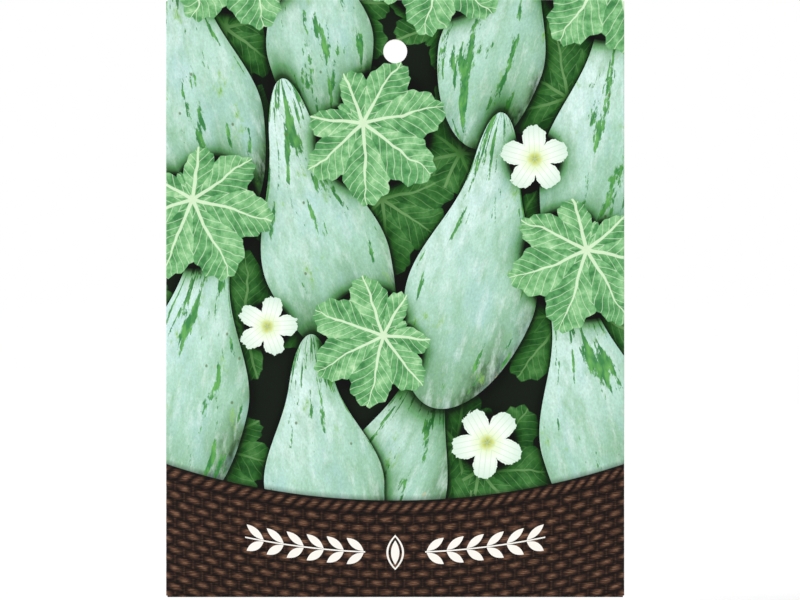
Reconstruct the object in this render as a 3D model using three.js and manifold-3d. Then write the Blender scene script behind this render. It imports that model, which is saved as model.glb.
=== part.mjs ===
// A seed packet: one sheet of coated paper folded into a flat envelope, with twelve gourd seeds inside.
// Millimetres, +Z up. The printed front faces -Y and the flaps are on the back, +Y.
// The origin is the centre of the hang hole that is punched through every layer near the top edge.
import * as THREE from "three";
import { mergeVertices } from "three/addons/utils/BufferGeometryUtils.js";
import Module from "manifold-3d";

const wasm = await Module();
wasm.setup();

// Packet
const packetWidth = 115;
const packetHeight = 150;
const holeRadius = 3;
const holeBelowTop = 13;
const paper = 0.2; // thickness of the sheet
const layerGap = 0.3; // between the front and the back where no seed holds them apart
const topEdge = holeBelowTop;
const bottomEdge = holeBelowTop - packetHeight;

// Bulge that the seeds make in the front and in the back
const bulge = 2.5; // at its highest, on each side
const sideReach = 20; // distance from a side fold to the full bulge
const bottomReach = 10; // distance from the bottom fold to the full bulge
const bulgeTop = bottomEdge + 42; // the bulge starts to fade here
const fadeEnd = bottomEdge + 115; // and the packet is flat above this

// Flaps and seam on the back
const topFlapDepth = 22;
const bottomFlapDepth = 17;
const flapCorner = 8; // slanted corner of a flap
const flapInset = 0.6; // a flap is this much narrower than the packet on each side
const foldInset = 0.15; // a flap's fold lies this far inside the packet's edge
const seamWidth = 12; // overlap of the two back panels

// Seeds
const seedLength = 14;
const seedWidth = 8;
const seedThickness = 3.8;
const seedEdgeRound = 0.8;
const seedMarginWaves = 7;
const seedMarginDepth = 0.2;
const seedRows = [5, 4, 3]; // from the bottom fold upwards
const seedPitch = 15.4;
const seedRowPitch = 10.8;
const firstRowHeight = 11.2; // above the bottom fold
const seedTilt = THREE.MathUtils.degToRad(11);
const seedTurn = 2.4; // radians from one seed's place in the cycle of tilts to the next one's
const seedOutlinePoints = 28;
const seedBluntness = 0.8; // 1 is an ellipse, and less has squarer ends

// Fineness of the faces
const columns = 16;
const rows = 26;
const punchSides = 48;

const reach = 20; // deeper than the packet, for what cuts or clips all its layers

function clamp01(value) {
  return Math.min(Math.max(value, 0), 1);
}

// Half of the space between the two panels, at a place on the packet.
function halfGap(x, z) {
  const fromSide = clamp01((packetWidth / 2 - Math.abs(x)) / sideReach);
  const fromBottom = clamp01((z - bottomEdge) / bottomReach);
  const faded = THREE.MathUtils.smoothstep(z, bulgeTop, fadeEnd);
  const rise =
    Math.sin((fromSide * Math.PI) / 2) * Math.sin((fromBottom * Math.PI) / 2);
  return layerGap / 2 + bulge * rise * (1 - faded);
}

// Turns a closed surface into a solid that can be cut and joined.
function solid(geometry) {
  const bare = geometry.clone();
  bare.deleteAttribute("normal");
  bare.deleteAttribute("uv");
  const merged = mergeVertices(bare);
  return new wasm.Manifold(
    new wasm.Mesh({
      numProp: 3,
      vertProperties: new Float32Array(merged.attributes.position.array),
      triVerts: new Uint32Array(merged.index.array),
    }),
  );
}

// Turns a solid back into a surface with normals.
function geometryOf(manifold) {
  const mesh = manifold.getMesh();
  const geometry = new THREE.BufferGeometry();
  geometry.setAttribute(
    "position",
    new THREE.BufferAttribute(mesh.vertProperties, 3),
  );
  geometry.setIndex(new THREE.BufferAttribute(mesh.triVerts, 1));
  geometry.computeVertexNormals();
  return geometry;
}

// A box as large as the packet less inset, whose front and back faces follow the bulge.
// frontOf and backOf turn the half gap at a place into the Y of each face there.
function bulgedBox(inset, frontOf, backOf) {
  const width = packetWidth - 2 * inset;
  const height = packetHeight - 2 * inset;
  const box = new THREE.BoxGeometry(width, reach, height, columns, 1, rows);
  box.translate(0, 0, (topEdge + bottomEdge) / 2);
  const place = box.attributes.position;
  for (let i = 0; i < place.count; i++) {
    const gap = halfGap(place.getX(i), place.getZ(i));
    place.setY(i, place.getY(i) < 0 ? frontOf(gap) : backOf(gap));
  }
  return box;
}

// The outline of a flap in X and Z: its fold is at foldZ, and its slanted corners are at endZ.
function flapOutline(foldZ, endZ) {
  const half = packetWidth / 2 - flapInset;
  const slant = Math.sign(foldZ - endZ) * flapCorner;
  return new THREE.Shape([
    new THREE.Vector2(-half, foldZ),
    new THREE.Vector2(half, foldZ),
    new THREE.Vector2(half, endZ + slant),
    new THREE.Vector2(half - flapCorner, endZ),
    new THREE.Vector2(flapCorner - half, endZ),
    new THREE.Vector2(-half, endZ + slant),
  ]);
}

function seamOutline() {
  const low = bottomEdge + foldInset;
  const high = topEdge - foldInset;
  return new THREE.Shape([
    new THREE.Vector2(-seamWidth / 2, low),
    new THREE.Vector2(seamWidth / 2, low),
    new THREE.Vector2(seamWidth / 2, high),
    new THREE.Vector2(-seamWidth / 2, high),
  ]);
}

// Paper glued on the outside of the back: everything inside the outline, out to so many more layers.
function backLayer(outline, layers) {
  const prism = new THREE.ExtrudeGeometry(outline, {
    depth: reach,
    bevelEnabled: false,
  });
  prism.rotateX(Math.PI / 2); // X and Y of the outline become X and Z
  prism.translate(0, reach / 2, 0);
  const block = bulgedBox(
    foldInset / 2,
    () => 0,
    (gap) => gap + paper * (1 + layers),
  );
  return solid(block).intersect(solid(prism));
}

// The folded sheet, hollow inside and punched through.
function envelopeGeometry() {
  const outside = bulgedBox(
    0,
    (gap) => -gap - paper,
    (gap) => gap + paper,
  );
  const inside = bulgedBox(
    paper,
    (gap) => -gap,
    (gap) => gap,
  );
  const punch = new THREE.CylinderGeometry(holeRadius, holeRadius, reach, punchSides);
  const topFlap = flapOutline(topEdge - foldInset, topEdge - topFlapDepth);
  const bottomFlap = flapOutline(
    bottomEdge + foldInset,
    bottomEdge + bottomFlapDepth,
  );
  const folded = solid(outside)
    .add(backLayer(seamOutline(), 1))
    .add(backLayer(topFlap, 2))
    .add(backLayer(bottomFlap, 2))
    .subtract(solid(inside))
    .subtract(solid(punch));
  return geometryOf(folded);
}

// A flat oblong seed with blunt ends and a wavy margin, lying in X and Z with its middle at the origin.
function seedGeometry() {
  const outline = [];
  for (let i = 0; i < seedOutlinePoints; i++) {
    const turn = (i / seedOutlinePoints) * 2 * Math.PI;
    const wave = 1 - (seedMarginDepth / seedWidth) * (1 + Math.cos(seedMarginWaves * turn));
    const c = Math.cos(turn);
    const s = Math.sin(turn);
    outline.push(
      new THREE.Vector2(
        (seedLength / 2) * wave * Math.sign(c) * Math.abs(c) ** seedBluntness,
        (seedWidth / 2) * wave * Math.sign(s) * Math.abs(s) ** seedBluntness,
      ),
    );
  }
  const depth = seedThickness - 2 * seedEdgeRound;
  const geometry = new THREE.ExtrudeGeometry(new THREE.Shape(outline), {
    depth,
    bevelEnabled: true,
    bevelThickness: seedEdgeRound,
    bevelSize: seedEdgeRound,
    bevelOffset: -seedEdgeRound,
    bevelSegments: 2,
  });
  geometry.translate(0, 0, -depth / 2);
  geometry.rotateX(Math.PI / 2);
  return geometry;
}

const printedPaper = new THREE.MeshStandardMaterial({
  color: 0xa9cdb8,
  roughness: 0.45,
  metalness: 0,
});
const seedCoat = new THREE.MeshStandardMaterial({
  color: 0x8a6b4a,
  roughness: 0.8,
  metalness: 0,
});

const packet = new THREE.Group();

const envelope = new THREE.Mesh(envelopeGeometry(), printedPaper);
envelope.name = "paper_envelope";
packet.add(envelope);

const seeds = new THREE.Group();
seeds.position.z = bottomEdge + firstRowHeight;
seedRows.forEach((count, row) => {
  for (let i = 0; i < count; i++) {
    const number = seeds.children.length + 1;
    const seed = new THREE.Mesh(seedGeometry(), seedCoat);
    seed.name = `seed_${String(number).padStart(2, "0")}`;
    seed.position.x = (i - (count - 1) / 2) * seedPitch;
    seed.position.z = row * seedRowPitch;
    seed.rotation.y = seedTilt * Math.sin(seedTurn * number);
    seeds.add(seed);
  }
});
packet.add(seeds);

export default packet;
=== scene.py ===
import math

import bpy
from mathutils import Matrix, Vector, noise


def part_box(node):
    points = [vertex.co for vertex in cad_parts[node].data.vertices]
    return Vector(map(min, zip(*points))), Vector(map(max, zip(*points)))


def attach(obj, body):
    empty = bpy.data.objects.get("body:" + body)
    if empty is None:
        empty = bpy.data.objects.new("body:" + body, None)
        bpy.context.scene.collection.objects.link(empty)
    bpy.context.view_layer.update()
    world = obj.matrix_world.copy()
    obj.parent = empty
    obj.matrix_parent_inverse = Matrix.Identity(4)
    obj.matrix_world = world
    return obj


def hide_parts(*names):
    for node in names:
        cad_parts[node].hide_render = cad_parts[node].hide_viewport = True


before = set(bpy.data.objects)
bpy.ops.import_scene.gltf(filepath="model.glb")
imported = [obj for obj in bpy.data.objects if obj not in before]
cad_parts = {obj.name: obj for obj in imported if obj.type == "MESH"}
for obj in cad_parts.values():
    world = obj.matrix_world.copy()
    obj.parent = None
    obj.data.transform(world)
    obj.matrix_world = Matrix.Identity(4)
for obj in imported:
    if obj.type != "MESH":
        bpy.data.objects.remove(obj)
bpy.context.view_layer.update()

mm = 0.001
low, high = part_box("paper_envelope")
halfWidth = (high.x - low.x) / 2
topEdge = high.z
bottomEdge = low.z
seedNames = sorted(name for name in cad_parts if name.startswith("seed_"))


def smoothStep(value, start, end):
    t = min(max((value - start) / (end - start), 0), 1)
    return t * t * (3 - 2 * t)


# sRGB hex to a linear colour
def hexColour(text):
    parts = [int(text[i:i + 2], 16) / 255 for i in (1, 3, 5)]
    return tuple(c / 12.92 if c <= 0.04045 else ((c + 0.055) / 1.055) ** 2.4 for c in parts) + (1,)


# Adds a node. Its kind may end with a maths node's operation or with what a mix node mixes. The values go
# to the inputs in use, in order, and named ones by name. A value may be a node, which stands for its first
# output in use. A ramp takes its stops.
def addNode(tree, kind, *values, named=None, stops=(), **settings):
    kind, _, mode = kind.partition(" ")
    node = tree.nodes.new("ShaderNode" + kind)
    if mode:
        setattr(node, "data_type" if kind == "Mix" else "operation", mode)
    for name, setting in settings.items():
        setattr(node, name, setting)
    inputs = [socket for socket in node.inputs if socket.enabled]
    pairs = list(zip(inputs, values)) + [(node.inputs[name], value) for name, value in (named or {}).items()]
    for socket, value in pairs:
        if isinstance(value, bpy.types.Node):
            value = next(output for output in value.outputs if output.enabled)
        if isinstance(value, bpy.types.NodeSocket):
            tree.links.new(value, socket)
        else:
            socket.default_value = value
    for number, (place, colour) in enumerate(stops):
        if number >= len(node.color_ramp.elements):
            node.color_ramp.elements.new(1.0)
        node.color_ramp.elements[number].position = place
        node.color_ramp.elements[number].color = hexColour(colour)
    return node


# how far a value is from a place, on either side
def farFrom(tree, value, place):
    away = addNode(tree, "Math SUBTRACT", value, place)
    return addNode(tree, "Math ABSOLUTE", away)


# round ridges side by side, 1 at each crest and 0 between them
def ridges(tree, value, spacing):
    turn = addNode(tree, "Math MULTIPLY", value, math.pi / spacing)
    turn = addNode(tree, "Math SINE", turn)
    return addNode(tree, "Math ABSOLUTE", turn)


# half the width of a pointed oval, at a place along it
def ovalHalf(tree, place, length, half):
    bow = addNode(tree, "Math DIVIDE", place, length)
    bow = addNode(tree, "Math MULTIPLY", bow, bow)
    return addNode(tree, "Math MULTIPLY_ADD", bow, -half, half)


def newMaterial(name):
    material = bpy.data.materials.new(name)
    material.use_nodes = True
    material.node_tree.nodes.clear()
    return material, material.node_tree


sheet = {
    "paper": 0.16 * mm,  # coated paper of about 120 g
    "edgeGap": 0.15 * mm,  # half the space between front and back where no seed holds them apart
    "glueGap": 0.04 * mm,  # between two glued layers
    "bulge": 2.5 * mm,
    "sideReach": 20 * mm,
    "bottomReach": 10 * mm,
    "bulgeTop": 42 * mm,  # above the bottom fold
    "fadeEnd": 115 * mm,
    "seamOverlap": 12 * mm,
    "seamStep": 1.8 * mm,  # the paper climbs onto the layer below it over this much
    "topFlap": 22 * mm,
    "bottomFlap": 17 * mm,
    "flapCorner": 8 * mm,
    "flapInset": 0.35 * mm,
    "foldClear": 0.45 * mm,  # the back panels end this far inside the packet's top and bottom
    "cell": 1.6 * mm,
    "foldSteps": 8,
    "holeRadius": 3 * mm,
    "seedLump": 0.3 * mm,
    "lumpReach": 6 * mm,
    "seedSink": 0.35 * mm,
    "wave": 0.132 * mm,
    "waveLength": 34 * mm,
    "ripple": (2.3, 0.5),  # a smaller wave: how many to each wave, and how strong
    "calmTop": 40 * mm,  # the panels lie flatter this near to the top
    "sidesApart": 50 * mm,  # in the noise, so that front and back wave differently
    "leastGap": 0.6,  # of edgeGap
}

paper = sheet["paper"]
edgeMiddle = sheet["edgeGap"] + paper / 2  # from the packet's middle to the middle of a panel, at a fold
lapRise = paper + sheet["glueGap"]
flapRadius = edgeMiddle + lapRise / 2
sideFold = halfWidth - edgeMiddle - paper / 2  # the side folds start here, across the front
sideTurn = math.pi * edgeMiddle
topFold = topEdge - flapRadius - paper / 2
bottomFold = bottomEdge + flapRadius + paper / 2
flapTurn = math.pi * flapRadius
seamHalf = sheet["seamOverlap"] / 2
flapHalf = halfWidth - sheet["flapInset"]
netSide = sideFold + sideTurn + sideFold + seamHalf
netTop = topFold + flapTurn + sheet["topFlap"] - (topEdge - topFold)
netBottom = bottomFold - flapTurn - sheet["bottomFlap"] + (bottomFold - bottomEdge)
panelTop = topEdge - sheet["foldClear"]
panelBottom = bottomEdge + sheet["foldClear"]

seedPlaces = []
for name in seedNames:
    seedLow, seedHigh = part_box(name)
    seedPlaces.append((seedLow + seedHigh) / 2)


# half the space between the two panels at a place on the packet
def halfGap(x, z, side):
    fromSide = min(max((halfWidth - abs(x)) / sheet["sideReach"], 0), 1)
    fromBottom = min(max((z - bottomEdge) / sheet["bottomReach"], 0), 1)
    faded = smoothStep(z, bottomEdge + sheet["bulgeTop"], bottomEdge + sheet["fadeEnd"])
    rise = math.sin(fromSide * math.pi / 2) * math.sin(fromBottom * math.pi / 2) * (1 - faded)
    lump = 0
    for place in seedPlaces:
        away = math.hypot(x - place.x, z - place.z) / sheet["lumpReach"]
        lump = max(lump, math.exp(-away * away))
    spot = Vector((x, side * sheet["sidesApart"], z)) / sheet["waveLength"]
    finer, strength = sheet["ripple"]
    drift = noise.noise(spot) + strength * noise.noise(spot * finer)
    calm = min(fromSide * 2, 1) * smoothStep(topEdge - z, 0, sheet["calmTop"])
    relief = rise * (lump * sheet["seedLump"] - sheet["seedSink"]) + drift * sheet["wave"] * calm
    return max(sheet["edgeGap"] + sheet["bulge"] * rise + relief, sheet["edgeGap"] * sheet["leastGap"])


def seamRise(x):
    return 1 - smoothStep(abs(x), seamHalf, seamHalf + sheet["seamStep"])


# where a point of the flat net lies once the net is folded: across, up and out of the sheet
def foldedPlace(across, up, out):
    if up > topFold or up < bottomFold:
        over = up - topFold if up > topFold else bottomFold - up
        sign, fold = (1, topFold) if up > topFold else (-1, bottomFold)
        rise = lapRise * (1 + seamRise(across))
        if over < flapTurn:
            front = halfGap(across, fold, -1) + paper / 2
            back = halfGap(across, fold, 1) + paper / 2 + rise
            radius = (front + back) / 2
            turn = over / flapTurn * math.pi
            y = (back - front) / 2 - (radius + out) * math.cos(turn)
            return Vector((across, y, fold + sign * (flapRadius + out) * math.sin(turn)))
        z = fold - sign * (over - flapTurn)
        return Vector((across, halfGap(across, z, 1) + paper / 2 + rise + out, z))
    side = math.copysign(1, across)
    reach = abs(across)
    if reach <= sideFold:
        return Vector((across, -halfGap(across, up, -1) - paper / 2 - out, up))
    if reach < sideFold + sideTurn:
        turn = (reach - sideFold) / sideTurn * math.pi
        front = halfGap(side * sideFold, up, -1) + paper / 2
        back = halfGap(side * sideFold, up, 1) + paper / 2
        radius = (front + back) / 2
        y = (back - front) / 2 - (radius + out) * math.cos(turn)
        return Vector((side * (sideFold + (edgeMiddle + out) * math.sin(turn)), y, up))
    x = side * (sideFold - (reach - sideFold - sideTurn))
    lift = 0
    if side < 0:
        lift = lapRise * smoothStep(x, -seamHalf - sheet["seamStep"], -seamHalf)
    return Vector((x, halfGap(x, up, 1) + paper / 2 + lift + out, up))


def selectFaces(mesh, wanted):
    for polygon in mesh.polygons:
        polygon.select = wanted(polygon.center)


def cutNet(place, direction):
    bpy.ops.mesh.select_all(action="SELECT")
    bpy.ops.mesh.bisect(plane_co=place, plane_no=direction, threshold=0.001 * mm)


# The print is drawn in millimetres on the flat sheet, 0 at the hang hole, so it runs round the folds.
# Pear-shaped gourds stand in a basket, the hindmost first. Each has its middle, the way its stem end leans
# from straight up in degrees, half its length and half the width of its belly.
gourds = [
    {"at": (-20, 9), "turn": 10, "long": 30, "wide": 14},
    {"at": (26, 6), "turn": -16, "long": 31, "wide": 14},
    {"at": (1, -103), "turn": -22, "long": 33, "wide": 15},
    {"at": (-50, -8), "turn": 12, "long": 36, "wide": 15.5},
    {"at": (53, -20), "turn": -9, "long": 37, "wide": 15.5},
    {"at": (-51, -78), "turn": -7, "long": 36, "wide": 16},
    {"at": (50, -88), "turn": 11, "long": 36, "wide": 16},
    {"at": (-20, -44), "turn": 17, "long": 38, "wide": 16.5},
    {"at": (21, -53), "turn": -13, "long": 38, "wide": 17},
    {"at": (-19, -101), "turn": 9, "long": 30, "wide": 15.5},
]
gourdForm = {
    "neck": 0.46,  # the neck's width as a share of the belly's
    "bellyEnd": -0.3,  # along the gourd, from -1 at its foot to 1 at its stem
    "neckStart": 0.62,
    "bow": 0.16,
    "shadeFall": 0.62,  # how fast the shade round it thins out, per mm
    "shadeDepth": 0.92,
    "apart": 31.7,  # in the noise, so that no two gourds share a pattern
}
leavesInFront = [
    {"at": (-38, 22), "points": -70, "size": 19},
    {"at": (10, 19), "points": -100, "size": 17},
    {"at": (51, 16), "points": -128, "size": 19},
    {"at": (-3, -22), "points": -38, "size": 17},
    {"at": (-48, -43), "points": -64, "size": 17},
    {"at": (46, -56), "points": -108, "size": 17},
    {"at": (-8, -74), "points": -152, "size": 15},
]
flowers = [
    {"at": (35, -27), "points": 20, "size": 8.5},
    {"at": (-32, -69), "points": 75, "size": 7.5},
    {"at": (23, -98), "points": 48, "size": 9},
]

skinPatterns = {  # each one's size in mm across and along the gourd, detail and roughness
    "wander": ((6, 15), 4.0, 0.55),
    "thinBloom": ((2.6, 6.5), 6.0, 0.62),
    "cloud": ((7, 17), 3.0, 0.55),
    "thickBloom": ((2.2, 8), 7.0, 0.68),
    "grain": ((0.42, 0.75), 3.0, 0.6),  # coarser than real skin's, so that it shows in print
    "rub": ((4.2, 9), 5.0, 0.6),
    "ragged": ((0.6, 1.7), 4.0, 0.65),
    "group": ((9, 26), 1.0, 0.5),
    "hue": ((1.2, 4), 2.0, 0.5),
    "scar": ((2.1, 4.2), 4.0, 0.6),
}
skinLook = {
    "patternShift": (5.3, 3.1, 7.7),  # from each pattern to the next
    "lightFrom": (-0.42, 0.91, 0),
    "shading": {"base": 0.29, "wander": 0.5, "lit": 0.43, "rim": -0.17, "rimPower": 5.0},
    # four numbers: where a mark starts and is full, and how much there is of it at each
    "grain": (0.28, 0.72, 0.87, 1.1),
    "gather": (-0.2, 0.95, -0.17, -0.03),
    "streakEdge": (0.70, 0.735, 0.0, 0.95),
    "hueEdge": (0.4, 0.68, 0.0, 1.0),
    "pockEdge": (0.10, 0.055, 0.0, 0.8),
    "scarEdge": (0.70, 0.76, 0.0, 0.7),
    "ragged": 0.3,
    "lanes": 4.6,  # streaks to a radian round the gourd
    "laneLength": 15.0,  # mm
    "groups": 0.42,
    "pocks": (0.24, 0.19, 1.0),  # how many per mm across and along
    "noPock": 0.6,  # the share of those that is left out
    "tones": (  # from the shaded side to the lit one
        (0.00, "#2F4A2B"), (0.09, "#5B835C"), (0.22, "#84AE90"), (0.38, "#9FC9B3"),
        (0.56, "#B6DACB"), (0.76, "#CAE6DE"), (1.00, "#D9EFE9"),
    ),
    "bloom": (  # pattern, where it starts and is full, how much, and its colour
        ("thinBloom", 0.44, 0.72, 0.7, "#8AB791"),
        ("cloud", 0.50, 0.68, 0.5, "#A9CFCE"),
        ("thickBloom", 0.50, 0.74, 0.55, "#E2F2EE"),
    ),
    "streak": "#2C7A37",
    "streakLight": "#62A84E",
    "rubs": ((0.63, 0.71, 0.7, "#8DBE5E"), (0.70, 0.76, 0.85, "#5A9A45")),
    "pock": "#5F7240",
    "scar": "#C8B88C",
    "shade": ((0.0, "#070B06"), (0.3, "#38552F"), (0.65, "#90B888"), (1.0, "#FFFFFF")),
}
leafLook = {
    "base": 0.38,  # from the blade's middle back to where the stalk joins, in blade sizes as are the rest
    "lobe": 0.86,  # radians from one lobe to the next
    "notch": (0.3, 1.6),  # how deep it is, and how sharp
    "reach": (1.25, -0.075),  # of the foremost lobe, and how lobes shorten towards the stalk
    "teeth": {"perRadian": 3.0, "width": 0.25, "depth": 0.2},
    "bulk": 0.84,
    "tones": ((0.30, "#3C7B45"), (0.46, "#5F9F62"), (0.60, "#86BE84"), (0.76, "#B4DAA9")),
    "vein": "#D8EDCB",
    "veinWidth": (0.0, 1.2, 0.026, 0.004),
    "veinEdge": (0.006, -0.002, 0.0, 0.85),
    "branch": {"step": 0.068, "slant": -1.2, "edge": (0.011, 0.002, 0.0, 0.55)},
    "dark": "#0C160B",
    "farTone": "#86A67C",
    "farSpacing": 27,  # mm
    "farSize": 0.6,  # of the spacing
}
flowerLook = {
    "petals": 5,
    "notch": (0.5, 2.4),  # how deep it is, and how sharp
    "ruffle": (0.34, 0.83),  # how much the edge wanders, and its least reach
    "creaseStep": 0.075,
    "bulk": 0.8,
    "tones": ((0.00, "#8F9A3C"), (0.14, "#C6D27A"), (0.26, "#E2EFCB"), (0.50, "#ECF4EA"), (1.00, "#CFE4D5")),
    "crease": "#BFD9BE",
}


# which gourd shows at each place: its own place on it, its form there, and the shade that lies on it
def layGourds(tree, flat):
    form = gourdForm
    spot = flat
    facing = (0, 0, 0)
    shade = 1.0
    covered = 0.0
    for number, gourd in enumerate(gourds):
        wide = gourd["wide"]
        size = (wide, gourd["long"], 1)
        turn = math.radians(gourd["turn"])
        bow = form["bow"] * (-1) ** number
        fall = form["shadeFall"] * wide
        local = addNode(tree, "Mapping", flat, (*gourd["at"], 0), (0, 0, turn), size, vector_type="TEXTURE")
        over, along = addNode(tree, "SeparateXYZ", local).outputs[:2]
        bend = addNode(tree, "Math MULTIPLY", along, along)
        over = addNode(tree, "Math MULTIPLY_ADD", bend, bow, over)
        girth = addNode(tree, "MapRange", along, form["bellyEnd"], form["neckStart"], 1.0, form["neck"],
                        interpolation_type="SMOOTHSTEP")
        over = addNode(tree, "Math DIVIDE", over, girth)
        place = addNode(tree, "CombineXYZ", over, along, 0.0)
        radius = addNode(tree, "VectorMath LENGTH", place)
        inside = addNode(tree, "Math LESS_THAN", radius, 1.0)
        near = addNode(tree, "Math MULTIPLY_ADD", radius, -fall, fall)
        near = addNode(tree, "Math EXPONENT", near)
        near = addNode(tree, "Math MULTIPLY_ADD", near, -form["shadeDepth"], 1.0)
        shaded = addNode(tree, "Math MULTIPLY", shade, near)
        shade = addNode(tree, "Mix", inside, shaded, 1.0)
        covered = addNode(tree, "Math MAXIMUM", covered, inside)
        apart = (0, 0, form["apart"] * (number + 1))
        mine = addNode(tree, "VectorMath MULTIPLY_ADD", local, size, apart)
        spot = addNode(tree, "Mix VECTOR", inside, spot, mine)
        mine = addNode(tree, "VectorMath ADD", place, (0, 0, turn))
        facing = addNode(tree, "Mix VECTOR", inside, facing, mine)
    return spot, facing, shade, covered


def paintSkin(tree, spot, facing):
    look = skinLook
    shading = look["shading"]
    field = {}
    for number, (name, (size, detail, roughness)) in enumerate(skinPatterns.items()):
        shift = [number * step for step in look["patternShift"]]
        place = addNode(tree, "Mapping", spot, shift, (0, 0, 0), (1 / size[0], 1 / size[1], 1))
        field[name] = addNode(tree, "TexNoise", place, 1.0, detail, roughness)
    # light falls from above and one side, and the edge of the shade wanders
    over, along, turn = addNode(tree, "SeparateXYZ", facing).outputs
    form = addNode(tree, "CombineXYZ", over, along, 0.0)
    rim = addNode(tree, "VectorMath LENGTH", form)
    rim = addNode(tree, "Math POWER", rim, shading["rimPower"])
    facing = addNode(tree, "VectorRotate", form, (0, 0, 0), turn, rotation_type="Z_AXIS")
    lit = addNode(tree, "VectorMath DOT_PRODUCT", facing, look["lightFrom"])
    tone = addNode(tree, "Math MULTIPLY_ADD", field["wander"], shading["wander"], shading["base"])
    tone = addNode(tree, "Math MULTIPLY_ADD", lit, shading["lit"], tone)
    tone = addNode(tree, "Math MULTIPLY_ADD", rim, shading["rim"], tone)
    skin = addNode(tree, "ValToRGB", tone, stops=look["tones"])
    # the waxy bloom is thin in places and thick in others
    for name, start, full, amount, colour in look["bloom"]:
        mask = addNode(tree, "MapRange", field[name], start, full, 0.0, amount)
        skin = addNode(tree, "Mix RGBA", mask, skin, hexColour(colour))
    grain = addNode(tree, "MapRange", field["grain"], *look["grain"])
    skin = addNode(tree, "Mix RGBA", 1.0, skin, grain, blend_type="MULTIPLY")
    # yellow-green rubs where the bloom has gone
    ragged = addNode(tree, "Math MULTIPLY_ADD", field["ragged"], look["ragged"], -look["ragged"] / 2)
    rub = addNode(tree, "Math ADD", field["rub"], ragged)
    for start, full, amount, colour in look["rubs"]:
        mask = addNode(tree, "MapRange", rub, start, full, 0.0, amount)
        skin = addNode(tree, "Mix RGBA", mask, skin, hexColour(colour))
    # dark streaks run from foot to stem, draw together at both ends and gather towards the stem
    bend = addNode(tree, "Math MULTIPLY", along, along)
    chord = addNode(tree, "Math SUBTRACT", 1.02, bend)
    chord = addNode(tree, "Math SQRT", chord)
    lane = addNode(tree, "Math DIVIDE", over, chord)
    lane = addNode(tree, "Math ARCSINE", lane)
    lane = addNode(tree, "Math MULTIPLY", lane, look["lanes"])
    alongSpot, number = addNode(tree, "SeparateXYZ", spot).outputs[1:]
    alongSpot = addNode(tree, "Math DIVIDE", alongSpot, look["laneLength"])
    lane = addNode(tree, "CombineXYZ", lane, alongSpot, number)
    streak = addNode(tree, "TexNoise", lane, 1.0, 3.0, 0.5)
    streak = addNode(tree, "Math ADD", streak, ragged)
    streak = addNode(tree, "Math MULTIPLY_ADD", field["group"], look["groups"], streak)
    gather = addNode(tree, "MapRange", along, *look["gather"])
    streak = addNode(tree, "Math ADD", streak, gather)
    mask = addNode(tree, "MapRange", streak, *look["streakEdge"])
    hue = addNode(tree, "MapRange", field["hue"], *look["hueEdge"])
    darkStreak = hexColour(look["streak"])
    hue = addNode(tree, "Mix RGBA", hue, darkStreak, hexColour(look["streakLight"]))
    skin = addNode(tree, "Mix RGBA", mask, skin, hue)
    # small pocks and dry scars
    cell = addNode(tree, "VectorMath MULTIPLY", spot, look["pocks"])
    pock = addNode(tree, "TexVoronoi", named={"Vector": cell, "Scale": 1.0, "Randomness": 1.0})
    chosen = addNode(tree, "SeparateColor", pock.outputs["Color"])
    chosen = addNode(tree, "Math GREATER_THAN", chosen, look["noPock"])
    mask = addNode(tree, "MapRange", pock, *look["pockEdge"])
    mask = addNode(tree, "Math MULTIPLY", mask, chosen)
    skin = addNode(tree, "Mix RGBA", mask, skin, hexColour(look["pock"]))
    mask = addNode(tree, "MapRange", field["scar"], *look["scarEdge"])
    return addNode(tree, "Mix RGBA", mask, skin, hexColour(look["scar"]))


# the place on the nearest leaf or flower, which is 1 in size
def nearestPlace(tree, flat, things):
    local = (9, 9, 0)
    nearest = 9.0
    for thing in things:
        size = thing["size"]
        turn = math.radians(thing["points"])
        mine = addNode(tree, "Mapping", flat, (*thing["at"], 0), (0, 0, turn), (size, size, 1),
                       vector_type="TEXTURE")
        away = addNode(tree, "VectorMath LENGTH", mine)
        closer = addNode(tree, "Math LESS_THAN", away, nearest)
        local = addNode(tree, "Mix VECTOR", closer, local, mine)
        nearest = addNode(tree, "Math MINIMUM", away, nearest)
    return local


# the same for leaves scattered at random
def scatteredPlace(tree, flat, spacing, size):
    cell = addNode(tree, "VectorMath MULTIPLY", flat, (1 / spacing, 1 / spacing, 1))
    spread = addNode(tree, "TexVoronoi", named={"Vector": cell, "Scale": 1.0, "Randomness": 0.7},
                     voronoi_dimensions="2D")
    local = addNode(tree, "VectorMath SUBTRACT", cell, spread.outputs["Position"])
    turn = addNode(tree, "SeparateColor", spread.outputs["Color"])
    turn = addNode(tree, "Math MULTIPLY", turn, math.tau)
    local = addNode(tree, "VectorRotate", local, (0, 0, 0), turn, rotation_type="Z_AXIS")
    return addNode(tree, "VectorMath MULTIPLY", local, (1 / size, 1 / size, 1))


# how far an angle is from the middle of its lobe or petal, and how near to the notch beside it
def nearestLobe(tree, angle, half, sharpness):
    off = addNode(tree, "Math WRAP", angle, half, -half)
    notch = addNode(tree, "Math ABSOLUTE", off)
    notch = addNode(tree, "Math MULTIPLY", notch, 1 / half)
    return off, addNode(tree, "Math POWER", notch, sharpness)


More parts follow.
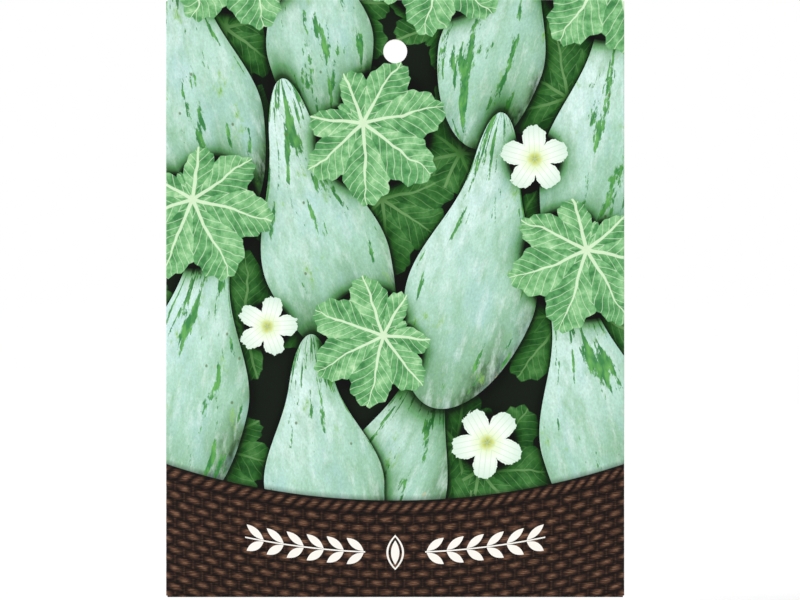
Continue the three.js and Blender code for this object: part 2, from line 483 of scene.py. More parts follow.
# how far a place lies beyond the leaf's edge, how far from its rounded bulk, and the leaf's colour there
def drawLeaf(tree, local, flat):
    look = leafLook
    depth, sharpness = look["notch"]
    foremost, shortening = look["reach"]
    tooth = look["teeth"]
    side = look["branch"]
    place = addNode(tree, "VectorMath ADD", local, (look["base"], 0, 0))
    along, over = addNode(tree, "SeparateXYZ", place).outputs[:2]
    bend = addNode(tree, "TexNoise", flat, 0.11, 2.0, 0.5)
    bend = addNode(tree, "Math MULTIPLY_ADD", bend, 0.3, -0.15)
    angle = addNode(tree, "Math ARCTAN2", over, along)
    angle = addNode(tree, "Math ADD", angle, bend)
    radius = addNode(tree, "VectorMath LENGTH", place)
    # lobes that shorten towards the stalk, with teeth
    offLobe, notch = nearestLobe(tree, angle, look["lobe"] / 2, sharpness)
    reach = addNode(tree, "Math MULTIPLY", angle, angle)
    reach = addNode(tree, "Math MULTIPLY_ADD", reach, shortening, foremost)
    teeth = addNode(tree, "Math MULTIPLY", angle, tooth["perRadian"])
    teeth = addNode(tree, "Math PINGPONG", teeth, tooth["width"])
    outline = addNode(tree, "Math MULTIPLY_ADD", notch, -depth, 1.0)
    outline = addNode(tree, "Math MULTIPLY_ADD", teeth, tooth["depth"], outline)
    outline = addNode(tree, "Math MULTIPLY", outline, reach)
    beyond = addNode(tree, "Math SUBTRACT", radius, outline)
    away = addNode(tree, "Math MULTIPLY_ADD", reach, -look["bulk"], radius)
    # each side of a vein tilts its own way
    blade = addNode(tree, "TexNoise", flat, 0.32, 5.0, 0.62)
    tilt = addNode(tree, "Math MULTIPLY_ADD", offLobe, 0.2, blade)
    colour = addNode(tree, "ValToRGB", tilt, stops=look["tones"])
    aside = addNode(tree, "Math SINE", offLobe)
    aside = addNode(tree, "Math MULTIPLY", aside, radius)
    aside = addNode(tree, "Math ABSOLUTE", aside)
    thick = addNode(tree, "MapRange", radius, *look["veinWidth"])
    main = addNode(tree, "Math SUBTRACT", aside, thick)
    main = addNode(tree, "MapRange", main, *look["veinEdge"])
    branch = addNode(tree, "Math MULTIPLY_ADD", aside, side["slant"], radius)
    branch = addNode(tree, "Math PINGPONG", branch, side["step"])
    branch = addNode(tree, "MapRange", branch, *side["edge"])
    veins = addNode(tree, "Math MAXIMUM", main, branch)
    colour = addNode(tree, "Mix RGBA", veins, colour, hexColour(look["vein"]))
    return beyond, away, colour


def drawFlower(tree, local, flat):
    look = flowerLook
    depth, sharpness = look["notch"]
    along, over = addNode(tree, "SeparateXYZ", local).outputs[:2]
    angle = addNode(tree, "Math ARCTAN2", over, along)
    radius = addNode(tree, "VectorMath LENGTH", local)
    offPetal, notch = nearestLobe(tree, angle, math.pi / look["petals"], sharpness)
    ruffle = addNode(tree, "TexNoise", flat, 0.6, 3.0, 0.6)
    outline = addNode(tree, "Math MULTIPLY_ADD", ruffle, *look["ruffle"])
    outline = addNode(tree, "Math MULTIPLY_ADD", notch, -depth, outline)
    beyond = addNode(tree, "Math SUBTRACT", radius, outline)
    shift = addNode(tree, "Math MULTIPLY_ADD", ruffle, 0.12, -0.06)
    shift = addNode(tree, "Math ADD", shift, radius)
    colour = addNode(tree, "ValToRGB", shift, stops=look["tones"])
    aside = addNode(tree, "Math MULTIPLY", offPetal, radius)
    aside = addNode(tree, "Math PINGPONG", aside, look["creaseStep"])
    crease = addNode(tree, "MapRange", aside, 0.022, 0.0, 0.0, 0.6)
    colour = addNode(tree, "Mix RGBA", crease, colour, hexColour(look["crease"]))
    away = addNode(tree, "Math SUBTRACT", radius, look["bulk"])
    return beyond, away, colour


def paintPicture(tree, flat):
    spacing, share = leafLook["farSpacing"], leafLook["farSize"]
    # dim leaves behind, then the gourds, then leaves and flowers in front
    beyond, away, leaf = drawLeaf(tree, scatteredPlace(tree, flat, spacing, share), flat)
    mask = addNode(tree, "MapRange", beyond, 0.01, -0.01, 0.0, 1.0)
    tint = hexColour(leafLook["farTone"])
    leaf = addNode(tree, "Mix RGBA", 1.0, leaf, tint, blend_type="MULTIPLY")
    behind = addNode(tree, "Mix RGBA", mask, hexColour(leafLook["dark"]), leaf)
    spot, facing, shade, covered = layGourds(tree, flat)
    picture = addNode(tree, "Mix RGBA", covered, behind, paintSkin(tree, spot, facing))
    tint = addNode(tree, "ValToRGB", shade, stops=skinLook["shade"])
    picture = addNode(tree, "Mix RGBA", 1.0, picture, tint, blend_type="MULTIPLY")
    for things, draw, fall in ((leavesInFront, drawLeaf, -9.0), (flowers, drawFlower, -5.0)):
        beyond, away, colour = draw(tree, nearestPlace(tree, flat, things), flat)
        near = addNode(tree, "Math MULTIPLY", away, fall)
        near = addNode(tree, "Math EXPONENT", near)
        near = addNode(tree, "Math MULTIPLY_ADD", near, -0.8, 1.0, use_clamp=True)
        tint = addNode(tree, "ValToRGB", near, stops=skinLook["shade"])
        picture = addNode(tree, "Mix RGBA", 1.0, picture, tint, blend_type="MULTIPLY")
        mask = addNode(tree, "MapRange", beyond, 0.006, -0.006, 0.0, 1.0)
        picture = addNode(tree, "Mix RGBA", mask, picture, colour)
    return picture


basketLook = {
    "rimMiddle": -112.5,  # the rim sags in the middle of the front and rises to the packet's sides
    "rimRise": 9.0,
    "rim": 3.6,  # mm tall, and mm from one turn of its twist to the next
    "twist": 2.9,
    "slant": 0.9,
    "row": 2.3,  # mm from one woven row to the next, and from one upright to the next
    "upright": 4.6,
    "uprightHalf": 0.42,
    "grain": (0.5, 4.5, 1),  # how many fibres per mm along and across a strand
    "grainTone": (1.05, -0.27),
    "heightTone": 0.45,
    "uprightTone": 0.55,
    "tones": ((0.20, "#040202"), (0.36, "#170D08"), (0.52, "#35221A"), (0.66, "#563A2A"), (0.80, "#80604A")),
    "shadeAbove": 1.4,  # mm that the rim's shade reaches on the gourds
    "plain": "#33221A",
}
ornament = {
    "ink": "#EFEBE4",
    "depth": 13.0,  # below the rim's edge, which the row follows
    "sprig": {"from": 7.5, "to": 37.5, "step": 5.0, "leaf": 2.61, "half": 0.95, "lean": 0.62, "lift": 1.75},
    "stem": 0.17,
    "seed": {"half": 2.2, "tall": 4.4, "ring": 0.25, "core": 1.15},
}


# a basket, and how far each place lies below its rim's edge
def paintBasket(tree, flat, across, up):
    look = basketLook
    side = addNode(tree, "Math DIVIDE", across, halfWidth / mm)
    side = addNode(tree, "Math MULTIPLY", side, side)
    edge = addNode(tree, "Math MULTIPLY_ADD", side, look["rimRise"], look["rimMiddle"])
    depth = addNode(tree, "Math SUBTRACT", edge, up)
    # woven rows go over one upright and under the next
    rows = addNode(tree, "Math SUBTRACT", depth, look["rim"])
    rows = addNode(tree, "Math DIVIDE", rows, look["row"])
    row = addNode(tree, "Math FLOOR", rows)
    strand = ridges(tree, rows, 1)
    wave = addNode(tree, "Math MULTIPLY", across, math.pi / look["upright"])
    wave = addNode(tree, "Math MULTIPLY_ADD", row, math.pi / 2, wave)
    wave = addNode(tree, "Math SINE", wave)
    wave = addNode(tree, "Math ABSOLUTE", wave)
    weave = addNode(tree, "Math MULTIPLY", strand, wave)
    upright = addNode(tree, "MapRange", wave, look["uprightHalf"], 0.0, 0.0, look["uprightTone"])
    weave = addNode(tree, "Math MAXIMUM", weave, upright)
    # the rim is twisted, and round in section
    twist = addNode(tree, "Math MULTIPLY_ADD", depth, look["slant"], across)
    twist = ridges(tree, twist, look["twist"])
    crest = addNode(tree, "Math MULTIPLY", depth, math.pi / look["rim"])
    crest = addNode(tree, "Math SINE", crest)
    rim = addNode(tree, "Math MULTIPLY", twist, crest)
    onRim = addNode(tree, "Math LESS_THAN", depth, look["rim"])
    height = addNode(tree, "Mix", onRim, weave, rim)
    grain = addNode(tree, "VectorMath MULTIPLY", flat, look["grain"])
    grain = addNode(tree, "TexNoise", grain, 1.0, 4.0, 0.6)
    tone = addNode(tree, "Math MULTIPLY_ADD", grain, *look["grainTone"])
    tone = addNode(tree, "Math MULTIPLY_ADD", height, look["heightTone"], tone)
    return addNode(tree, "ValToRGB", tone, stops=look["tones"]), depth


# plain ornament on the basket, the same on both sides of the middle
def ornamentMask(tree, across, depth):
    aside = addNode(tree, "Math ABSOLUTE", across)
    rise = farFrom(tree, depth, ornament["depth"])
    # a seed in the middle
    seed = ornament["seed"]
    bow = ovalHalf(tree, rise, seed["tall"], seed["half"])
    bow = addNode(tree, "Math SUBTRACT", bow, aside)
    ring = addNode(tree, "Math COMPARE", bow, seed["ring"], seed["ring"])
    core = addNode(tree, "Math GREATER_THAN", bow, seed["core"])
    marks = addNode(tree, "Math MAXIMUM", ring, core)
    # a sprig to each side, with leaves in pairs
    sprig = ornament["sprig"]
    middle = (sprig["from"] + sprig["to"]) / 2
    cosine, sine = math.cos(sprig["lean"]), math.sin(sprig["lean"])
    within = addNode(tree, "Math COMPARE", aside, middle, sprig["to"] - middle)
    step = addNode(tree, "Math SUBTRACT", aside, sprig["from"])
    step = addNode(tree, "Math WRAP", step, sprig["step"], 0.0)
    step = addNode(tree, "Math SUBTRACT", step, sprig["step"] / 2)
    lifted = addNode(tree, "Math SUBTRACT", rise, sprig["lift"])
    turned = addNode(tree, "Math MULTIPLY", lifted, sine)
    along = addNode(tree, "Math MULTIPLY_ADD", step, cosine, turned)
    turned = addNode(tree, "Math MULTIPLY", lifted, cosine)
    over = addNode(tree, "Math MULTIPLY_ADD", step, -sine, turned)
    over = addNode(tree, "Math ABSOLUTE", over)
    bow = ovalHalf(tree, along, sprig["leaf"], sprig["half"])
    leaf = addNode(tree, "Math LESS_THAN", over, bow)
    stem = addNode(tree, "Math LESS_THAN", rise, ornament["stem"])
    leaf = addNode(tree, "Math MAXIMUM", leaf, stem)
    leaf = addNode(tree, "Math MULTIPLY", leaf, within)
    return addNode(tree, "Math MAXIMUM", marks, leaf)


backLook = {
    "ground": "#B9D6C6",
    "panel": "#E3EEE6",
    "line": "#4F8F58",
    "box": (0, -50, 45, 31, 4),  # middle across and up, half its width and height, and its corners' radius
    "strip": {"row": -96, "step": 8, "half": 3.1, "reach": 48, "filled": 24},
    "flap": "#86B598",
}


# a plain back: a blank panel, a strip of twelve blank boxes and a brown foot
def paintBack(tree, across, up):
    look = backLook
    seamLine = (2 * sideFold + sideTurn) / mm
    aside = addNode(tree, "Math ABSOLUTE", across)
    aside = farFrom(tree, aside, seamLine)
    middle, height, halfAcross, halfUp, corner = look["box"]
    rise = farFrom(tree, up, height)
    overSide = addNode(tree, "Math SUBTRACT", aside, halfAcross - corner)
    overSide = addNode(tree, "Math MAXIMUM", overSide, 0.0)
    overTop = addNode(tree, "Math SUBTRACT", rise, halfUp - corner)
    overTop = addNode(tree, "Math MAXIMUM", overTop, 0.0)
    edge = addNode(tree, "CombineXYZ", overSide, overTop, 0.0)
    edge = addNode(tree, "VectorMath LENGTH", edge)
    inside = addNode(tree, "Math LESS_THAN", edge, corner)
    ink = addNode(tree, "Math COMPARE", edge, corner, 0.22)
    back = addNode(tree, "Mix RGBA", inside, hexColour(look["ground"]), hexColour(look["panel"]))
    strip = look["strip"]
    step = addNode(tree, "Math WRAP", aside, strip["step"], 0.0)
    step = farFrom(tree, step, strip["step"] / 2)
    rise = farFrom(tree, up, strip["row"])
    box = addNode(tree, "Math MAXIMUM", step, rise)
    line = addNode(tree, "Math COMPARE", box, strip["half"], 0.18)
    filled = addNode(tree, "Math LESS_THAN", aside, strip["filled"])
    box = addNode(tree, "Math LESS_THAN", box, strip["half"] - 0.7)
    box = addNode(tree, "Math MULTIPLY", box, filled)
    box = addNode(tree, "Math MAXIMUM", box, line)
    within = addNode(tree, "Math LESS_THAN", aside, strip["reach"])
    box = addNode(tree, "Math MULTIPLY", box, within)
    ink = addNode(tree, "Math MAXIMUM", ink, box)
    back = addNode(tree, "Mix RGBA", ink, back, hexColour(look["line"]))
    flap = addNode(tree, "Math GREATER_THAN", up, topEdge / mm)
    back = addNode(tree, "Mix RGBA", flap, back, hexColour(look["flap"]))
    footTop = basketLook["rimMiddle"] + basketLook["rimRise"]  # where the rim meets the side folds
    foot = addNode(tree, "Math LESS_THAN", up, footTop)
    return addNode(tree, "Mix RGBA", foot, back, hexColour(basketLook["plain"]))


printedPaper = {
    "bleed": 1.2,  # mm that the picture runs past a fold
    "roughness": (0.40, 0.52),
    "fibre": 0.55,  # mm, coarser than real fibres so that they show
    "core": "#F4F1EA",
    "wear": 0.42,
    "wearHalf": 0.32,  # mm to each side of a fold
}


# Coated paper, printed and satin varnished: an even soft gloss over the ink, with the white core showing
# where folds have rubbed.
def makePrintedPaper():
    look = printedPaper
    material, tree = newMaterial("coated paper, printed and varnished")
    flat = addNode(tree, "UVMap", uv_map="sheetNet")
    across, up = addNode(tree, "SeparateXYZ", flat).outputs[:2]
    aside = addNode(tree, "Math ABSOLUTE", across)
    picture = paintPicture(tree, flat)
    basket, depth = paintBasket(tree, flat, across, up)
    shade = addNode(tree, "MapRange", depth, 0.0, -basketLook["shadeAbove"], 0.4, 1.0)
    picture = addNode(tree, "Mix RGBA", 1.0, picture, shade, blend_type="MULTIPLY")
    mask = addNode(tree, "MapRange", depth, -0.05, 0.05, 0.0, 1.0)
    picture = addNode(tree, "Mix RGBA", mask, picture, basket)
    marks = ornamentMask(tree, across, depth)
    picture = addNode(tree, "Mix RGBA", marks, picture, hexColour(ornament["ink"]))
    # past the folds the picture gives way to the plain back
    sideEnd = (sideFold + sideTurn) / mm + look["bleed"]
    outside = addNode(tree, "Math GREATER_THAN", aside, sideEnd)
    over = addNode(tree, "Math GREATER_THAN", up, (topFold + flapTurn) / mm + look["bleed"])
    outside = addNode(tree, "Math MAXIMUM", outside, over)
    under = addNode(tree, "Math LESS_THAN", up, (bottomFold - flapTurn) / mm - look["bleed"])
    outside = addNode(tree, "Math MAXIMUM", outside, under)
    picture = addNode(tree, "Mix RGBA", outside, picture, paintBack(tree, across, up))
    # folds have rubbed through to the white core in places
    fold = 9.0
    for place, value in ((aside, sideFold + sideTurn / 2), (up, topFold + flapTurn / 2),
                         (up, bottomFold - flapTurn / 2)):
        away = farFrom(tree, place, value / mm)
        fold = addNode(tree, "Math MINIMUM", fold, away)
    rubbed = addNode(tree, "TexNoise", flat, 0.9, 5.0, 0.7)
    rubbed = addNode(tree, "MapRange", rubbed, 0.48, 0.66, 0.0, look["wear"])
    onFold = addNode(tree, "MapRange", fold, look["wearHalf"], 0.0, 0.0, 1.0)
    rubbed = addNode(tree, "Math MULTIPLY", rubbed, onFold)
    picture = addNode(tree, "Mix RGBA", rubbed, picture, hexColour(look["core"]))
    # varnish is a little uneven, over a faint fibre and cockle
    smear = addNode(tree, "TexNoise", flat, 0.06, 3.0, 0.6)
    gloss = addNode(tree, "MapRange", smear, 0.3, 0.7, *look["roughness"])
    fibre = addNode(tree, "TexNoise", flat, 1 / look["fibre"], 3.0, 0.6)
    height = addNode(tree, "Math MULTIPLY_ADD", smear, 6.0, fibre)
    bump = addNode(tree, "Bump", named={"Strength": 0.35, "Distance": 0.03 * mm, "Height": height})
    surface = addNode(tree, "BsdfPrincipled", named={
        "Base Color": picture, "Roughness": gloss, "Specular IOR Level": 0.12, "Normal": bump,
    })
    addNode(tree, "OutputMaterial", surface)
    return material


# Bare wood-pulp paper, uncoated: a matt off-white with fine fibres, as on the inside and at cut edges.
def makeBarePaper():
    material, tree = newMaterial("bare paper, uncoated")
    flat = addNode(tree, "UVMap", uv_map="sheetNet")
    fibre = addNode(tree, "TexNoise", flat, 1 / printedPaper["fibre"], 6.0, 0.7)
    cloud = addNode(tree, "TexNoise", flat, 0.12, 3.0, 0.6)
    tone = addNode(tree, "Math MULTIPLY", fibre, 0.6)
    tone = addNode(tree, "Math MULTIPLY_ADD", cloud, 0.4, tone)
    colour = addNode(tree, "ValToRGB", tone, stops=((0.36, "#E2DDD1"), (0.64, "#F8F6F0")))
    bump = addNode(tree, "Bump", named={"Strength": 0.4, "Distance": 0.03 * mm, "Height": fibre})
    surface = addNode(tree, "BsdfPrincipled", named={
        "Base Color": colour, "Roughness": 0.85, "Specular IOR Level": 0.2, "Normal": bump,
    })
    addNode(tree, "OutputMaterial", surface)
    return material


bakeMap = {  # places on a square map of 1024 units, with units per mm
    "side": 1024,
    "edge": 5,
    "front": 5.3,
    "back": 2.95,
    "inside": 1.5,
    "column": 636,  # where the right-hand column starts
    "insideFoot": 462,
    "rimFoot": 770,
    "rimScale": 1.4,
    "rimTall": 8,  # units across the paper's thickness
    "holeFoot": 880,
    "holeWide": 150,
    "holeScale": 50,
    "holeTurn": 3.3,  # radians, a little over half a turn, so that the wall starts inside its place
}


# where a corner of the flat sheet lies on the bake map: the front and flaps large, what hardly shows small
def bakePlace(place, normal, middle):
    settings = bakeMap
    x, y = place.x / mm, place.y / mm
    strip = (sideFold + sideTurn) / mm
    reach = netSide / mm
    foot = netBottom / mm
    if normal.z > 0.5 and abs(middle.x) / mm < strip:
        u = settings["edge"] + (x + strip) * settings["front"]
        v = settings["edge"] + (y - foot) * settings["front"]
    elif normal.z > 0.5:
        panel = reach - strip
        u = x + reach if middle.x < 0 else x - strip + panel + 2
        u = settings["column"] + u * settings["back"]
        v = settings["edge"] + (y - bottomEdge / mm) * settings["back"]
    elif normal.z < -0.5:
        u = settings["column"] + (reach - x) * settings["inside"]
        v = settings["insideFoot"] + (y - foot) * settings["inside"]
    else:
        # each of the four ways that a cut edge may face has its own row
        upright = abs(normal.x) > abs(normal.y)
        row = (2 if upright else 0) + (1 if normal.x + normal.y > 0 else 0)
        u = settings["column"] + ((y - foot) if upright else (x + reach)) * settings["rimScale"]
        v = settings["rimFoot"] + (2 * row + place.z / paper + 0.5) * settings["rimTall"]
    return u / settings["side"], v / settings["side"]


def mapSheet(mesh):
    netMap = mesh.uv_layers.new(name="sheetNet")
    bakeLayer = mesh.uv_layers.new(name="OFBake")
    for polygon in mesh.polygons:
        for index in polygon.loop_indices:
            place = mesh.vertices[mesh.loops[index].vertex_index].co
            netMap.data[index].uv = (place.x / mm, place.y / mm)
            bakeLayer.data[index].uv = bakePlace(place, polygon.normal, polygon.center)


# the punch leaves its own maps on the hole's wall
def mapPunch(mesh):
    settings = bakeMap
    netMap = mesh.uv_layers.new(name="sheetNet")
    bakeLayer = mesh.uv_layers.new(name="OFBake")
    for polygon in mesh.polygons:
        middle = math.atan2(polygon.center.z, polygon.center.x)
        for index in polygon.loop_indices:
            place = mesh.vertices[mesh.loops[index].vertex_index].co
            turn = math.atan2(place.z, place.x)
            turn = middle + (turn - middle + math.pi) % math.tau - math.pi
            netMap.data[index].uv = (turn * sheet["holeRadius"] / mm, place.y / mm)
            u = settings["column"] + (turn + settings["holeTurn"]) / math.tau * settings["holeWide"]
            v = settings["holeFoot"] + (place.y / mm + 1) * settings["holeScale"]
            bakeLayer.data[index].uv = (u / settings["side"], v / settings["side"])


def makeEnvelope():
    # the flat net: front in the middle, a back panel on each side, a flap above and below
    width = 2 * netSide
    height = netTop - netBottom
    bpy.ops.object.select_all(action="DESELECT")
    bpy.ops.mesh.primitive_grid_add(
        x_subdivisions=round(width / sheet["cell"]),
        y_subdivisions=round(height / sheet["cell"]),
        size=1,
        location=(0, (netTop + netBottom) / 2, 0),
    )
    net = bpy.context.object
    net.name = "folded_paper_envelope"
    net.data.name = net.name
    net.scale = (width, height, 1)
    bpy.ops.object.transform_apply(location=True, rotation=False, scale=True)

    bpy.ops.object.mode_set(mode="EDIT")
    steps = sheet["foldSteps"]
    for side in (-1, 1):
        for step in range(steps + 1):
            cutNet((side * (sideFold + sideTurn * step / steps), 0, 0), (1, 0, 0))
        cutNet((side * flapHalf, 0, 0), (1, 0, 0))
        # lines where the seam's layers climb, so that no face cuts through the layer below
        for share in (0, 0.5, 1):
            reach = seamHalf + share * sheet["seamStep"]
            cutNet((side * reach, 0, 0), (1, 0, 0))
            cutNet((side * (2 * sideFold + sideTurn - reach), 0, 0), (1, 0, 0))
    for step in range(steps + 1):
        cutNet((0, topFold + flapTurn * step / steps, 0), (0, 1, 0))
        cutNet((0, bottomFold - flapTurn * step / steps, 0), (0, 1, 0))
    for up in (panelTop, panelBottom):
        cutNet((0, up, 0), (0, 1, 0))

    # what lies outside the net's outline goes
    bpy.ops.mesh.select_mode(type="FACE")
    bpy.ops.mesh.select_all(action="DESELECT")
    bpy.ops.object.mode_set(mode="OBJECT")
    selectFaces(net.data, lambda c: abs(c.x) > flapHalf and not panelBottom < c.y < panelTop)
    bpy.ops.object.mode_set(mode="EDIT")
    bpy.ops.mesh.delete(type="FACE")

    # slanted corners on the flaps
    for side in (-1, 1):
        for sign, end in ((1, netTop), (-1, netBottom)):
            bpy.ops.mesh.select_all(action="DESELECT")
            bpy.ops.object.mode_set(mode="OBJECT")
            selectFaces(net.data, lambda c: sign * c.y > sign * end - 12 * mm and side * c.x > 0)
            bpy.ops.object.mode_set(mode="EDIT")
            bpy.ops.mesh.bisect(
                plane_co=(side * (flapHalf - sheet["flapCorner"]), end, 0),
                plane_no=(side, sign, 0),
                clear_outer=True,
                threshold=0.001 * mm,
            )
    bpy.ops.object.mode_set(mode="OBJECT")
    print("flat sheet cut:", len(net.data.polygons), "faces")

    wall = net.modifiers.new("wall", "SOLIDIFY")
    wall.thickness = paper
    wall.offset = 0
    wall.use_even_offset = False
    wall.material_offset = 1
    wall.material_offset_rim = 1
    net.data.materials.append(makePrintedPaper())
    net.data.materials.append(makeBarePaper())
    bpy.ops.object.modifier_apply(modifier="wall")
    for layer in list(net.data.uv_layers):
        net.data.uv_layers.remove(layer)
    mapSheet(net.data)

    for vertex in net.data.vertices:
        vertex.co = foldedPlace(vertex.co.x, vertex.co.y, vertex.co.z)

    # the hang hole is punched after folding, through every layer
    bpy.ops.object.select_all(action="DESELECT")
    bpy.ops.mesh.primitive_cylinder_add(
        vertices=96, radius=sheet["holeRadius"], depth=20 * mm, rotation=(math.pi / 2, 0, 0)
    )
    bpy.ops.object.transform_apply(location=False, rotation=True, scale=False)
    punch = bpy.context.object
    for layer in list(punch.data.uv_layers):
        punch.data.uv_layers.remove(layer)
    mapPunch(punch.data)
    punch.data.materials.append(net.data.materials[0])
    punch.data.materials.append(net.data.materials[1])
    for polygon in punch.data.polygons:
        polygon.material_index = 1
    hole = net.modifiers.new("hole", "BOOLEAN")
    hole.operation = "DIFFERENCE"
    hole.object = punch
    hole.solver = "EXACT"
    bpy.context.view_layer.objects.active = net
    bpy.ops.object.modifier_apply(modifier="hole")
    bpy.data.objects.remove(punch)

    bpy.ops.object.select_all(action="DESELECT")
    net.select_set(True)
    bpy.context.view_layer.objects.active = net
    bpy.ops.object.shade_smooth_by_angle(angle=math.radians(40))
    net.data.uv_layers["sheetNet"].active_render = True
    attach(net, "root")
    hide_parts("paper_envelope")
    print("envelope folded:", len(net.data.polygons), "faces")


seedForm = {
    "segments": 56,
    "rings": 28,
    "fit": 0.97,  # of the space that the seed has
    "furrow": 0.80,  # where a furrow runs round inside the margin, from 0 in the middle to 1 at the edge
    "furrowHalf": 0.07,
    "furrowDepth": 0.22,
    "waves": 11,  # round the margin
    "wave": 0.035,
    "wrinkle": 0.11,
    "plumpness": 4,
    "bluntness": 2.5,  # 2 would be round
    "wrinkles": 7,
    "smoothRim": 6,
}


# Dry seed coat, hard and rough: matt brown and mottled, with painted shade darkening it in small pits.
def makeSeedCoat():
    material, tree = newMaterial("seed coat, dry and wrinkled")
    place = addNode(tree, "TexCoord").outputs["Object"]
    mottle = addNode(tree, "TexNoise", place, 1 / (1.6 * mm), 6.0, 0.65)
    colour = addNode(tree, "ValToRGB", mottle, stops=(
        (0.32, "#3F2B1B"), (0.46, "#6B4C31"), (0.58, "#8A6846"), (0.72, "#B1926A"),
    ))
    # painted shade: each small pit darkens towards its middle, though the mesh has no such pits
    paintedPitShade = addNode(tree, "TexVoronoi", named={"Vector": place, "Scale": 1 / (0.5 * mm), "Randomness": 1.0})
    shade = addNode(tree, "MapRange", paintedPitShade, 0.1, 0.6, 0.72, 1.08)
    colour = addNode(tree, "Mix RGBA", 1.0, colour, shade, blend_type="MULTIPLY")
    roughness = addNode(tree, "MapRange", mottle, 0.3, 0.7, 0.85, 0.62)
    bump = addNode(tree, "Bump", named={"Strength": 0.6, "Distance": 0.06 * mm, "Height": mottle})
    surface = addNode(tree, "BsdfPrincipled", named={
        "Base Color": colour, "Roughness": roughness, "Specular IOR Level": 0.3, "Normal": bump,
    })
    addNode(tree, "OutputMaterial", surface)
    return material


# shapes a ball of size 1 into a flat seed with a furrowed, wavy margin, 1 in each direction
def shapeSeed(mesh):
    form = seedForm
    for vertex in mesh.vertices:
        flatReach = min(math.hypot(vertex.co.x, vertex.co.z) * 2, 1)
        turn = math.atan2(vertex.co.z, vertex.co.x)
        power = form["bluntness"]
        blunt = (abs(math.cos(turn)) ** power + abs(math.sin(turn)) ** power) ** (-1 / power)
        edge = blunt * (1 - form["wave"] + form["wave"] * math.sin(form["waves"] * turn))
        thick = (1 - flatReach ** form["plumpness"]) ** 0.5 * 0.5
        furrow = math.exp(-((flatReach - form["furrow"]) / form["furrowHalf"]) ** 2)
        wrinkle = noise.noise(vertex.co * form["wrinkles"]) * (1 - flatReach ** form["smoothRim"])
        thick *= 1 - form["wrinkle"] - form["furrowDepth"] * furrow + form["wrinkle"] * wrinkle
        vertex.co.x = math.cos(turn) * flatReach * edge / 2
        vertex.co.z = math.sin(turn) * flatReach * edge / 2
        vertex.co.y = math.copysign(thick, vertex.co.y)


# a CAD seed's middle, the way its long axis turns, and its length, thickness and width
def seedStance(name):
    points = [Vector(v.co) for v in bpy.data.objects[name].data.vertices]
    seedLow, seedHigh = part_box(name)
    middle = (seedLow + seedHigh) / 2
    offsets = [p - middle for p in points]
    spreadX = sum(o.x * o.x for o in offsets)
    spreadZ = sum(o.z * o.z for o in offsets)
    spreadBoth = sum(o.x * o.z for o in offsets)
    turn = math.atan2(2 * spreadBoth, spreadX - spreadZ) / 2
    along = Vector((math.cos(turn), 0, math.sin(turn)))
    over = Vector((-math.sin(turn), 0, math.cos(turn)))
    length = 2 * max(abs(o.dot(along)) for o in offsets)
    width = 2 * max(abs(o.dot(over)) for o in offsets)
    return middle, turn, Vector((length, seedHigh.y - seedLow.y, width))


def makeSeeds():
    coat = makeSeedCoat()
    bpy.ops.object.select_all(action="DESELECT")
    bpy.ops.mesh.primitive_uv_sphere_add(
        segments=seedForm["segments"], ring_count=seedForm["rings"], radius=0.5, rotation=(math.pi / 2, 0, 0)
    )
    bpy.ops.object.transform_apply(location=False, rotation=True, scale=False)
    first = bpy.context.object
    shapeSeed(first.data)
    bpy.ops.object.shade_smooth()
    first.data.materials.append(coat)
    for name in seedNames:
        middle, turn, size = seedStance(name)
        bpy.ops.object.select_all(action="DESELECT")
        first.select_set(True)
        bpy.context.view_layer.objects.active = first
        bpy.ops.object.duplicate(linked=False)
        seed = bpy.context.object
        seed.name = "gourd_" + name
        seed.data.name = seed.name
        seed.scale = size * seedForm["fit"]
        seed.rotation_euler = (0, -turn, 0)
        seed.location = middle
        bpy.ops.object.transform_apply(location=True, rotation=True, scale=True)
        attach(seed, "root")
        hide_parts(name)
    bpy.data.objects.remove(first)
    print("seeds laid:", len(seedNames))


studio = {
    "lens": 100,
    "frameWidth": 199.8 * mm,
    "aimX": 1.2 * mm,
    "aimZ": -62.4 * mm,
    "floorBelow": 24 * mm,
    "floorSize": 60,
    "backdrop": 1.0,
    "ambient": 0.68,
    "sun": {"from": (-0.62, -0.58, 0.60), "strength": 1.75, "softness": 0.35},
    "lights": (  # name, place, size and power
        ("fill", (0.9, -0.7, 0.2), 0.6, 0.3),
        ("back", (0.6, 0.9, 0.6), 0.5, 1.1),
    ),
}


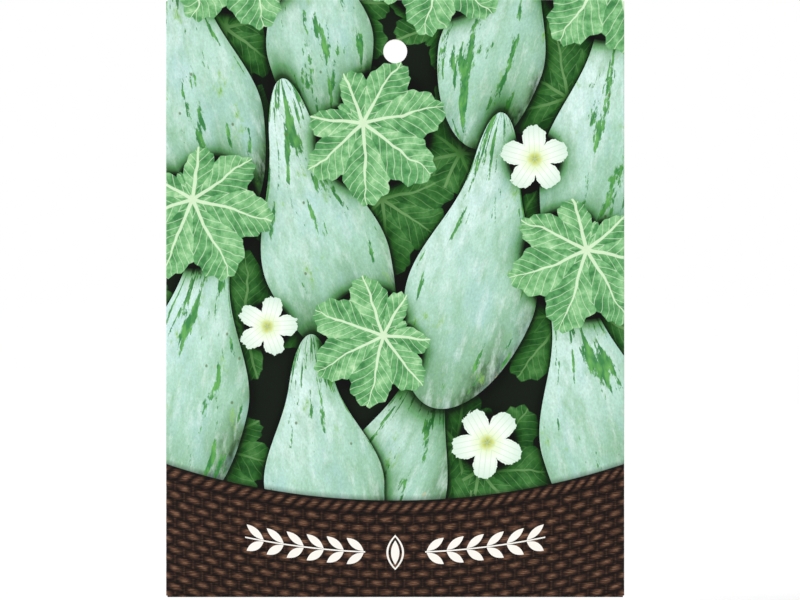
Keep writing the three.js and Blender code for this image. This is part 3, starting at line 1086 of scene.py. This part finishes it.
def makeStudio():
    scene = bpy.context.scene
    scene.view_settings.view_transform = "Standard"
    camera = bpy.data.objects.new("camera", bpy.data.cameras.new("camera"))
    scene.collection.objects.link(camera)
    camera.data.lens = studio["lens"]
    distance = studio["frameWidth"] / camera.data.sensor_width * studio["lens"]
    camera.location = (studio["aimX"], low.y - distance, studio["aimZ"])
    camera.rotation_euler = (math.pi / 2, 0, 0)
    camera.data.clip_start = 0.01
    scene.camera = camera

    world = bpy.data.worlds.new("white studio")
    scene.world = world
    world.use_nodes = True
    # the backdrop itself is white, and lights the room more softly than it looks
    seen = addNode(world.node_tree, "LightPath").outputs["Is Camera Ray"]
    glow = addNode(world.node_tree, "MapRange", seen, 0.0, 1.0, studio["ambient"], studio["backdrop"])
    backdrop = world.node_tree.nodes["Background"]
    backdrop.inputs["Color"].default_value = (1, 1, 1, 1)
    world.node_tree.links.new(glow.outputs[0], backdrop.inputs["Strength"])

    bpy.ops.object.select_all(action="DESELECT")
    floorPlace = (0, 0, bottomEdge - studio["floorBelow"])
    bpy.ops.mesh.primitive_plane_add(size=studio["floorSize"], location=floorPlace)
    floor = bpy.context.object
    floor.name = "studio_floor"
    # Matt white board: an even pale ground with no gloss.
    material, tree = newMaterial("matt white board")
    surface = addNode(tree, "BsdfPrincipled", named={
        "Base Color": hexColour("#FFFFFF"), "Roughness": 1.0, "Specular IOR Level": 0.0,
    })
    addNode(tree, "OutputMaterial", surface)
    floor.data.materials.append(material)

    sun = bpy.data.objects.new("sun", bpy.data.lights.new("sun", "SUN"))
    scene.collection.objects.link(sun)
    sun.data.energy = studio["sun"]["strength"]
    sun.data.angle = studio["sun"]["softness"]
    sun.rotation_euler = (-Vector(studio["sun"]["from"])).to_track_quat("-Z", "Y").to_euler()
    for name, place, size, power in studio["lights"]:
        light = bpy.data.objects.new(name, bpy.data.lights.new(name, "AREA"))
        scene.collection.objects.link(light)
        light.data.size = size
        light.data.energy = power
        light.location = place
        aim = Vector((0, 0, studio["aimZ"])) - light.location
        light.rotation_euler = aim.to_track_quat("-Z", "Y").to_euler()
    print("studio set")


makeStudio()
makeEnvelope()
makeSeeds()
